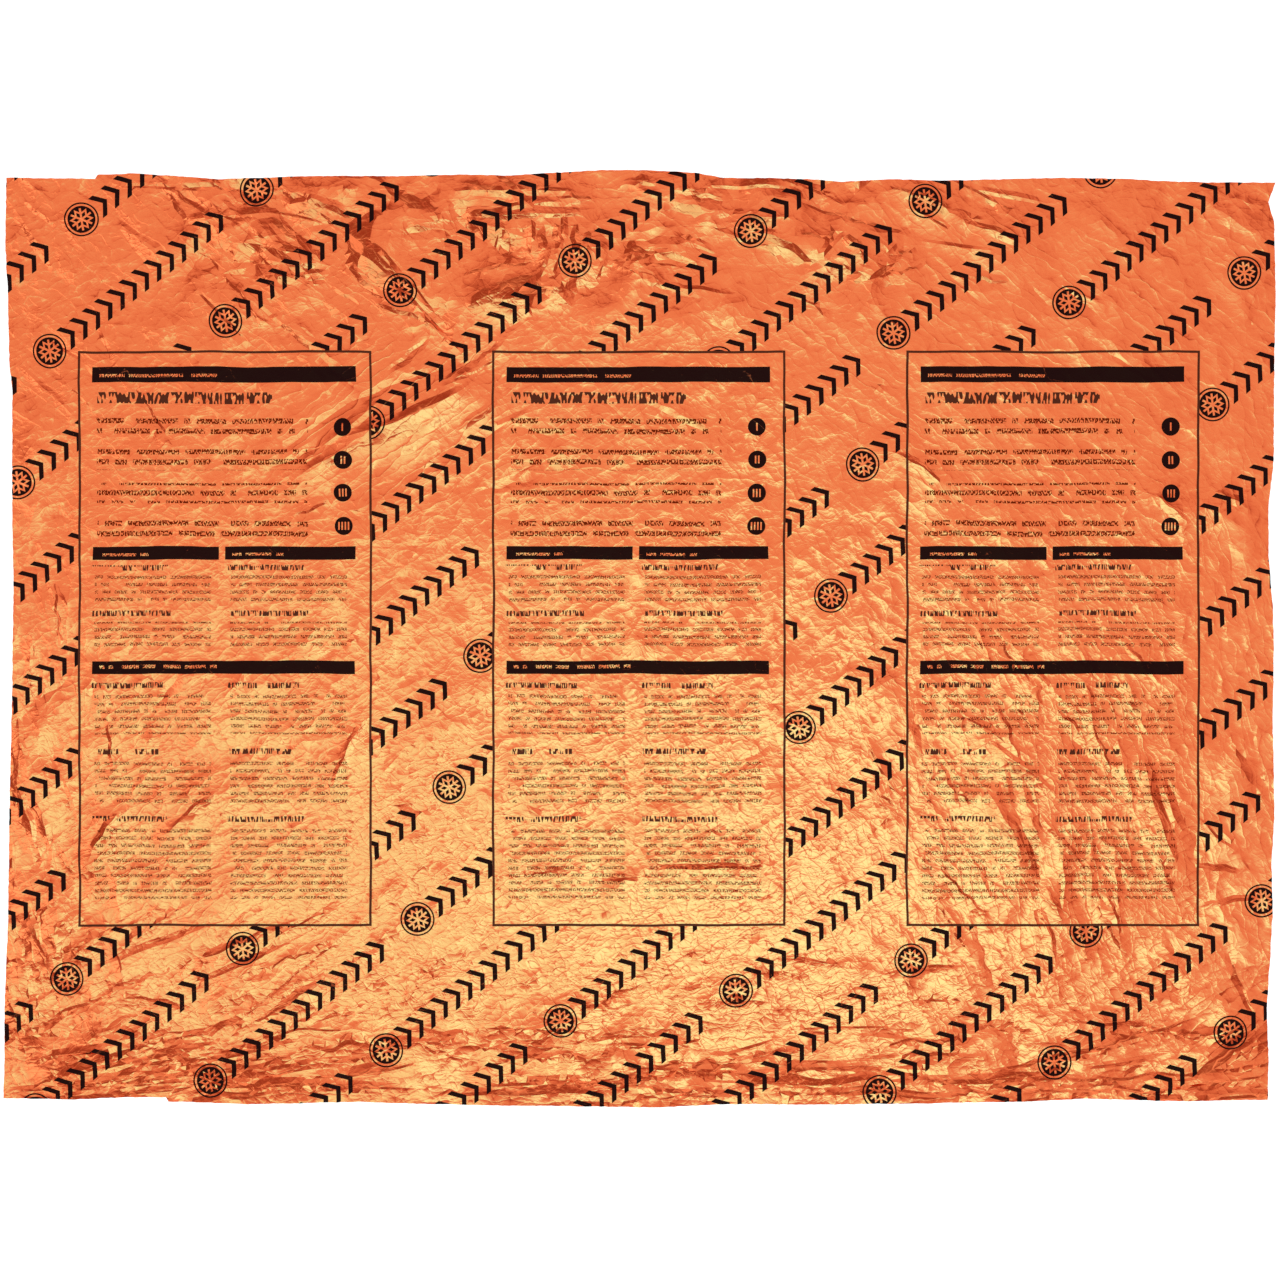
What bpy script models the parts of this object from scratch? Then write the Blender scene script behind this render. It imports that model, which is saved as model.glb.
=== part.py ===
# An emergency foil blanket, spread out face up on a flat surface.
# It is one cut rectangle of metallised film, with no hem, binding or eyelets.
# The film keeps the creases of its packing. Low folds with sharp crests rise
# from the surface, most of them along the upper and lower edges, and flat
# facets of film run between them. The outline strays a little from straight.
# Metres, +Z up. X runs along the long edges and +Y points to the upper edge.
# The origin is on the surface, under the middle of the sheet's box.

import math
import random
from collections import namedtuple

import bmesh
import bpy
import numpy as np
from mathutils import Vector
from mathutils.geometry import delaunay_2d_cdt

LENGTH = 2.100  # as laid, between the mean left and right edges
WIDTH = 1.538  # as laid, between the mean lower and upper edges
THICKNESS = 0.0015
MM = 0.001

OUTLINE_STEP = 0.030  # between the points of the outline
OUTLINE_GAP = 0.014  # every other point is this far inside the outline
FOLD_STEP = 0.034  # between the points of a fold's crest
FOLD_GAP = 0.024  # between the crest points of two folds
CREST_STRAY = 0.004  # how far a crest's points lie off its even curve
CREST_DIP = 0.2  # the share of its height that a crest may dip
EDGE_REACH = 0.20  # how far inside the sheet an edge's straying dies out
EDGE_LIFT = 0.050  # how far a crest lifts the outline beside it
FLAT_SPOT = 0.10  # radius about the middle where the film lies quite flat
LYING_SHARE = 0.72  # of the points between the folds, those on the surface
POINT_TRIES = 14000  # places tried for the points between the folds
SEED = 7

FILM_COLOUR = (1.0, 0.19, 0.05, 1.0)
FILM_METALLIC = 0.9
FILM_ROUGHNESS = 0.3

# How an edge strays. along: share of the edge, from the left or from the lower
# corner. out: distance outside the mean edge, in millimetres.
EdgePoint = namedtuple("EdgePoint", "along out")

STEP_RUN = 0.002  # share of the edge over which a turned strip ends

UPPER_STEP = 0.068  # a narrow strip is turned under, left of here
UPPER_EDGE = (
    EdgePoint(0.000, 0),
    EdgePoint(UPPER_STEP, -2),
    EdgePoint(UPPER_STEP + STEP_RUN, 5),
    EdgePoint(0.100, 7),
    EdgePoint(0.128, 3),
    EdgePoint(0.165, -3),
    EdgePoint(0.225, 2),
    EdgePoint(0.300, 2),
    EdgePoint(0.356, 5),
    EdgePoint(0.394, 3),
    EdgePoint(0.470, 13),
    EdgePoint(0.508, 12),
    EdgePoint(0.546, 7),
    EdgePoint(0.565, 0),
    EdgePoint(0.640, -3),
    EdgePoint(0.660, -7),
    EdgePoint(0.698, -3),
    EdgePoint(0.736, -5),
    EdgePoint(0.831, 0),
    EdgePoint(0.888, -2),
    EdgePoint(0.907, -5),
    EdgePoint(0.945, -8),
    EdgePoint(1.000, -8),
)

LOWER_STEP = 0.124  # a second strip is turned under, left of here
LOWER_EDGE = (
    EdgePoint(0.000, -8),
    EdgePoint(0.053, -6),
    EdgePoint(0.090, -10),
    EdgePoint(LOWER_STEP, -10),
    EdgePoint(LOWER_STEP + STEP_RUN, -3),
    EdgePoint(0.185, 2),
    EdgePoint(0.280, -2),
    EdgePoint(0.356, 3),
    EdgePoint(0.432, 5),
    EdgePoint(0.508, 7),
    EdgePoint(0.565, 2),
    EdgePoint(0.660, 2),
    EdgePoint(0.736, 0),
    EdgePoint(0.812, -3),
    EdgePoint(0.850, -7),
    EdgePoint(0.926, -3),
    EdgePoint(1.000, -5),
)

LEFT_EDGE = (
    EdgePoint(0.000, 10),
    EdgePoint(0.074, 8),
    EdgePoint(0.124, 7),
    EdgePoint(0.204, 2),
    EdgePoint(0.308, 0),
    EdgePoint(0.386, -3),
    EdgePoint(0.464, -5),
    EdgePoint(0.541, -7),
    EdgePoint(0.620, -5),
    EdgePoint(0.770, -5),
    EdgePoint(0.799, 0),
    EdgePoint(0.877, 3),
    EdgePoint(0.930, 7),
    EdgePoint(1.000, 5),
)

RIGHT_EDGE = (
    EdgePoint(0.000, -8),
    EdgePoint(0.048, -7),
    EdgePoint(0.098, -10),
    EdgePoint(0.150, -5),
    EdgePoint(0.205, 0),
    EdgePoint(0.258, -2),
    EdgePoint(0.308, 3),
    EdgePoint(0.410, 0),
    EdgePoint(0.490, 2),
    EdgePoint(0.540, 0),
    EdgePoint(0.592, -7),
    EdgePoint(0.643, -7),
    EdgePoint(0.695, 2),
    EdgePoint(0.799, 3),
    EdgePoint(0.877, 5),
    EdgePoint(0.955, 2),
    EdgePoint(0.977, -7),  # the corner above is pinched in here
    EdgePoint(1.000, 5),
)

# The main folds: each is a ridge with a sharp crest, from which facets of film
# run down to the points around it. x, y: middle of the fold, from the middle
# of the sheet. angle: degrees from +X, turning towards +Y. length: of the
# crest. height: of the crest's middle, in millimetres. bow: how far that
# middle bends to its left.
Fold = namedtuple("Fold", "x y angle length height bow")

UPPER_LEFT_FOLDS = (
    Fold(-0.760, 0.755, -2, 0.30, 4, 0.002),
    Fold(-0.825, 0.665, -65, 0.17, 5, 0.004),
    Fold(-0.705, 0.690, -35, 0.16, 8, 0.000),
    Fold(-0.560, 0.722, -21, 0.15, 8, 0.006),
    Fold(-0.500, 0.748, -3, 0.20, 9, 0.000),
    Fold(-0.590, 0.655, -48, 0.20, 10, -0.008),
    Fold(-0.450, 0.640, -38, 0.30, 15, 0.012),
    Fold(-0.395, 0.715, -12, 0.20, 10, 0.000),
    Fold(-0.690, 0.562, -30, 0.16, 6, 0.000),
    Fold(-0.390, 0.382, 22, 0.32, 12, -0.014),
    Fold(-0.500, 0.300, 27, 0.22, 8, 0.006),
    Fold(-1.005, 0.300, 86, 0.26, 6, 0.006),
)

UPPER_MIDDLE_FOLDS = (
    Fold(-0.212, 0.742, 1, 0.28, 10, 0.004),
    Fold(-0.205, 0.692, 1, 0.30, 10, -0.005),
    Fold(-0.160, 0.640, 80, 0.11, 7, 0.000),
    Fold(-0.092, 0.640, 78, 0.12, 8, 0.004),
    Fold(-0.200, 0.567, 9, 0.26, 12, 0.016),
    Fold(-0.070, 0.548, -27, 0.15, 6, 0.000),
    Fold(-0.010, 0.585, 58, 0.12, 6, 0.004),
    Fold(0.024, 0.640, 18, 0.15, 8, 0.008),
    Fold(0.065, 0.738, -3, 0.18, 8, 0.004),
    Fold(0.205, 0.735, -2, 0.20, 9, 0.000),
    Fold(0.245, 0.655, -28, 0.22, 12, 0.018),
    Fold(0.135, 0.563, -6, 0.16, 6, 0.000),
)

UPPER_RIGHT_FOLDS = (
    Fold(0.332, 0.690, 68, 0.12, 8, 0.000),
    Fold(0.352, 0.628, -38, 0.14, 11, 0.012),
    Fold(0.463, 0.732, -16, 0.18, 10, 0.004),
    Fold(0.585, 0.672, -18, 0.22, 9, 0.006),
    Fold(0.400, 0.560, 24, 0.18, 6, 0.000),
    Fold(0.770, 0.690, -22, 0.18, 5, 0.004),
    Fold(0.980, 0.708, -35, 0.16, 9, 0.000),
    Fold(0.458, 0.284, -33, 0.20, 8, 0.008),
    Fold(0.600, 0.205, -38, 0.18, 6, 0.000),
    Fold(0.882, 0.225, -40, 0.16, 7, 0.000),
    Fold(0.985, 0.190, -32, 0.18, 9, 0.006),
)

LEFT_FOLDS = (
    Fold(-1.012, -0.240, -74, 0.18, 7, 0.000),
    Fold(-0.975, -0.470, -78, 0.22, 10, 0.010),
    Fold(-0.889, -0.330, 55, 0.18, 7, 0.000),
    Fold(-0.740, -0.290, 41, 0.20, 7, 0.006),
    Fold(-0.483, -0.190, 65, 0.22, 7, 0.008),
    Fold(-0.700, -0.100, 38, 0.20, 6, 0.000),
    Fold(-0.700, -0.455, 62, 0.18, 6, 0.000),
    Fold(-0.850, -0.580, -26, 0.18, 8, 0.006),
)

LOWER_LEFT_FOLDS = (
    Fold(-0.890, -0.680, 21, 0.28, 14, 0.010),
    Fold(-0.880, -0.742, 5, 0.24, 10, 0.000),
    Fold(-0.735, -0.705, -40, 0.14, 9, 0.000),
    Fold(-0.635, -0.590, -5, 0.20, 9, 0.005),
    Fold(-0.600, -0.735, 6, 0.22, 10, 0.000),
    Fold(-0.540, -0.665, 5, 0.26, 12, -0.006),
    Fold(-0.480, -0.580, 48, 0.13, 7, 0.000),
    Fold(-0.400, -0.745, -4, 0.20, 10, 0.000),
    Fold(-0.370, -0.685, 9, 0.20, 11, 0.005),
)

LOWER_MIDDLE_FOLDS = (
    Fold(-0.155, -0.388, -3, 0.18, 7, 0.000),
    Fold(-0.030, -0.402, 3, 0.13, 8, 0.004),
    Fold(0.120, -0.382, -1, 0.24, 7, 0.000),
    Fold(-0.155, -0.634, 8, 0.26, 12, 0.008),
    Fold(-0.200, -0.738, 6, 0.22, 11, 0.000),
    Fold(-0.060, -0.700, -14, 0.18, 10, 0.004),
    Fold(0.010, -0.640, -3, 0.16, 10, 0.000),
    Fold(0.060, -0.752, -1, 0.26, 10, 0.000),
    Fold(0.137, -0.590, 14, 0.18, 9, 0.006),
    Fold(0.205, -0.700, 18, 0.20, 11, 0.000),
    Fold(0.290, -0.750, 2, 0.20, 10, 0.000),
)

LOWER_RIGHT_FOLDS = (
    Fold(0.375, -0.568, -2, 0.20, 9, 0.005),
    Fold(0.455, -0.620, -15, 0.18, 9, 0.000),
    Fold(0.360, -0.680, 8, 0.20, 10, 0.000),
    Fold(0.445, -0.745, 0, 0.18, 10, 0.000),
    Fold(0.540, -0.688, -7, 0.18, 11, 0.004),
    Fold(0.610, -0.742, 16, 0.16, 9, 0.000),
    Fold(0.715, -0.650, -10, 0.20, 10, 0.006),
    Fold(0.720, -0.715, -16, 0.18, 10, 0.000),
    Fold(0.850, -0.735, -5, 0.20, 9, 0.000),
    Fold(0.965, -0.680, 33, 0.26, 12, 0.010),
)

RIGHT_FOLDS = (
    Fold(0.630, -0.200, -38, 0.24, 9, 0.006),
    Fold(0.600, -0.330, -63, 0.22, 9, 0.008),
    Fold(0.688, -0.455, -65, 0.14, 7, 0.000),
    Fold(0.715, -0.330, -84, 0.16, 7, 0.000),
    Fold(0.780, -0.430, -72, 0.17, 7, 0.004),
    Fold(0.865, -0.285, -73, 0.26, 9, -0.008),
    Fold(0.980, -0.230, 80, 0.18, 6, 0.000),
    Fold(0.360, 0.030, 32, 0.20, 6, 0.006),
)

FOLDS = (
    UPPER_LEFT_FOLDS
    + UPPER_MIDDLE_FOLDS
    + UPPER_RIGHT_FOLDS
    + LEFT_FOLDS
    + LOWER_LEFT_FOLDS
    + LOWER_MIDDLE_FOLDS
    + LOWER_RIGHT_FOLDS
    + RIGHT_FOLDS
)

# How finely the film between the folds is crumpled. x, y, length, width: the
# stretch of film. gap: least distance between its points. rise: the most that
# a point stands over the surface, in millimetres. Where two stretches overlap,
# the later row holds.
Crumple = namedtuple("Crumple", "x y length width gap rise")

CRUMPLES = (
    Crumple(0.00, 0.00, 2.20, 1.60, 0.052, 3.0),  # all of the film
    Crumple(0.05, -0.33, 1.50, 0.52, 0.040, 4.0),  # the fine crumple, low in the middle
    Crumple(-0.88, -0.30, 0.36, 0.60, 0.040, 5.0),  # down the left side
    Crumple(0.74, -0.28, 0.46, 0.52, 0.040, 5.0),  # down the right side
    Crumple(-0.22, 0.66, 1.20, 0.28, 0.034, 6.0),  # the upper band
    Crumple(0.00, -0.66, 2.20, 0.26, 0.032, 7.0),  # the lower band
)


def clear_scene():
    for item in list(bpy.data.objects):
        bpy.data.objects.remove(item, do_unlink=True)


def straying(edge, along):
    """How far outside its mean line an edge is at this share of its length."""
    places = [point.along for point in edge]
    distances = [point.out * MM for point in edge]
    return float(np.interp(along, places, distances))


def share_left(distance):
    """The share of an edge's straying that is left this far inside the edge."""
    return max(0.0, 1.0 - distance / EDGE_REACH) ** 2


def place_in_plan(u, v):
    """Where the film's point at these shares of length and width lies."""
    x = LENGTH * (u - 0.5)
    x -= straying(LEFT_EDGE, v) * share_left(u * LENGTH)
    x += straying(RIGHT_EDGE, v) * share_left((1 - u) * LENGTH)
    y = WIDTH * (v - 0.5)
    y -= straying(LOWER_EDGE, u) * share_left(v * WIDTH)
    y += straying(UPPER_EDGE, u) * share_left((1 - v) * WIDTH)
    return x, y


def well_inside(x, y):
    """True if the point is inside the outline, and not too near it."""
    u = min(1.0, max(0.0, x / LENGTH + 0.5))
    v = min(1.0, max(0.0, y / WIDTH + 0.5))
    low_x = place_in_plan(0, v)[0] + OUTLINE_GAP
    high_x = place_in_plan(1, v)[0] - OUTLINE_GAP
    low_y = place_in_plan(u, 0)[1] + OUTLINE_GAP
    high_y = place_in_plan(u, 1)[1] - OUTLINE_GAP
    return low_x < x < high_x and low_y < y < high_y


def crumple_at(x, y):
    """The last row of the crumple table whose stretch holds the point."""
    for crumple in reversed(CRUMPLES):
        inside_x = abs(x - crumple.x) <= crumple.length / 2
        inside_y = abs(y - crumple.y) <= crumple.width / 2
        if inside_x and inside_y:
            return crumple
    return CRUMPLES[0]


def outline_shares(edge, length):
    """Shares of an edge where the outline has points: all that its table
    names, and even steps between them."""
    shares = []
    for first, second in zip(edge, edge[1:]):
        run = second.along - first.along
        parts = max(1, round(run * length / OUTLINE_STEP))
        shares += [first.along + run * part / parts for part in range(parts)]
    return shares


def outline_plan():
    """The outline's points, anticlockwise from the lower left corner."""
    plan = [place_in_plan(u, 0) for u in outline_shares(LOWER_EDGE, LENGTH)]
    plan += [place_in_plan(1, v) for v in outline_shares(RIGHT_EDGE, WIDTH)]
    back = [1.0] + outline_shares(UPPER_EDGE, LENGTH)[:0:-1]
    plan += [place_in_plan(u, 1) for u in back]
    down = [1.0] + outline_shares(LEFT_EDGE, WIDTH)[:0:-1]
    plan += [place_in_plan(0, v) for v in down]
    return plan


def crest_points(fold, chance):
    """The points of the fold's crest, from end to end."""
    turn = math.radians(fold.angle)
    parts = max(4, round(fold.length / FOLD_STEP))
    for part in range(parts + 1):
        share = 2 * part / parts - 1
        roundness = 1.0 - share**2
        along = share * fold.length / 2
        aside = fold.bow * roundness + chance.uniform(-CREST_STRAY, CREST_STRAY)
        x = fold.x + along * math.cos(turn) - aside * math.sin(turn)
        y = fold.y + along * math.sin(turn) + aside * math.cos(turn)
        z = fold.height * MM * roundness * chance.uniform(1.0 - CREST_DIP, 1.0)
        yield x, y, z


def resting_height(x, y, chance):
    """A height for a point between the folds: 0 for most of them."""
    rise = crumple_at(x, y).rise * MM * chance.random()
    lies = chance.random() < LYING_SHARE or math.hypot(x, y) < FLAT_SPOT
    return 0.0 if lies else rise


def far_from(points, x, y, gap):
    return all(math.hypot(x - px, y - py) >= gap for px, py, _ in points)


def outline_height(x, y, on_crests, chance):
    """The height of the outline here, which a crest beside it lifts."""
    height = resting_height(x, y, chance)
    for crest_x, crest_y, crest_z in on_crests:
        nearness = 1.0 - math.hypot(x - crest_x, y - crest_y) / EDGE_LIFT
        height = max(height, crest_z * nearness)
    return height


def film_points():
    """The film's points, the number of those on the outline, which come
    last, and the crests as pairs of points."""
    chance = random.Random(SEED)
    points, crests = [], []
    for fold in FOLDS:
        last = None
        for x, y, z in crest_points(fold, chance):
            if well_inside(x, y) and far_from(points, x, y, FOLD_GAP):
                points.append((x, y, z))
                if last is not None:
                    crests.append((last, len(points) - 1))
                last = len(points) - 1
            else:
                last = None
    on_crests = list(points)
    for _ in range(POINT_TRIES):
        x = chance.uniform(-LENGTH / 2, LENGTH / 2)
        y = chance.uniform(-WIDTH / 2, WIDTH / 2)
        z = resting_height(x, y, chance)
        if well_inside(x, y) and far_from(points, x, y, crumple_at(x, y).gap):
            points.append((x, y, z))
    outline = outline_plan()
    points += [(x, y, outline_height(x, y, on_crests, chance)) for x, y in outline]
    return points, len(outline), crests


def film_mesh(name):
    """The film's underside, with its box's middle over the origin."""
    points, outline_count, crests = film_points()
    plan = [Vector((x, y)) for x, y, _ in points]
    outline = [list(range(len(points) - outline_count, len(points)))]
    inside_only = 1
    verts, _, faces, sources, *_ = delaunay_2d_cdt(plan, crests, outline, inside_only, 1e-6)
    bm = bmesh.new()
    made = []
    for vert, source in zip(verts, sources):
        height = points[source[0]][2] if source else 0.0
        made.append(bm.verts.new((vert.x, vert.y, height)))
    for face in faces:
        bm.faces.new([made[index] for index in face])
    bmesh.ops.recalc_face_normals(bm, faces=bm.faces)
    if sum(face.normal.z for face in bm.faces) < 0:
        bmesh.ops.reverse_faces(bm, faces=bm.faces)
    xs = [vert.co.x for vert in bm.verts]
    ys = [vert.co.y for vert in bm.verts]
    middle = (-(min(xs) + max(xs)) / 2, -(min(ys) + max(ys)) / 2, 0.0)
    bmesh.ops.translate(bm, verts=bm.verts, vec=middle)
    mesh = bpy.data.meshes.new(name)
    bm.to_mesh(mesh)
    bm.free()
    return mesh


def film_material():
    material = bpy.data.materials.new("metallised_film")
    material.use_nodes = True
    shader = material.node_tree.nodes["Principled BSDF"]
    shader.inputs["Base Color"].default_value = FILM_COLOUR
    shader.inputs["Metallic"].default_value = FILM_METALLIC
    shader.inputs["Roughness"].default_value = FILM_ROUGHNESS
    return material


def build_foil_sheet():
    sheet = bpy.data.objects.new("foil_sheet", film_mesh("foil_sheet"))
    bpy.context.scene.collection.objects.link(sheet)
    sheet.data.materials.append(film_material())
    solidify = sheet.modifiers.new("thickness", "SOLIDIFY")
    solidify.thickness = THICKNESS
    solidify.offset = 1.0  # upwards, so that the underside stays where it is
    return sheet


clear_scene()
build_foil_sheet()
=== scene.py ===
import math
import random

import bmesh
import bpy
import numpy as np
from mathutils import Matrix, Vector
from mathutils.bvhtree import BVHTree
from mathutils.geometry import delaunay_2d_cdt


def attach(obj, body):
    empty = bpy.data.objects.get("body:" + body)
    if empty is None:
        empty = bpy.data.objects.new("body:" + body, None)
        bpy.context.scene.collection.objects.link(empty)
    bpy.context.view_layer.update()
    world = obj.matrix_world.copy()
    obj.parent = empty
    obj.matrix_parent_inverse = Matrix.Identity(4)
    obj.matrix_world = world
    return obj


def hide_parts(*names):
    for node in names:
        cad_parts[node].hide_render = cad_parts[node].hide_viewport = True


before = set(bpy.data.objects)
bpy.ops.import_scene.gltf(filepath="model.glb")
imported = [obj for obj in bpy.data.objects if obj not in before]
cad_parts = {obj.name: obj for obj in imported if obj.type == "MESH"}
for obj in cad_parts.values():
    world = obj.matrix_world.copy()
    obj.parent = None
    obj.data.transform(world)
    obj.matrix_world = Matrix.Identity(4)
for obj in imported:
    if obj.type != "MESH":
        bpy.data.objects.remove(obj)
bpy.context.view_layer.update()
mm = 0.001
down = Vector((0, 0, -1))

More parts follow.
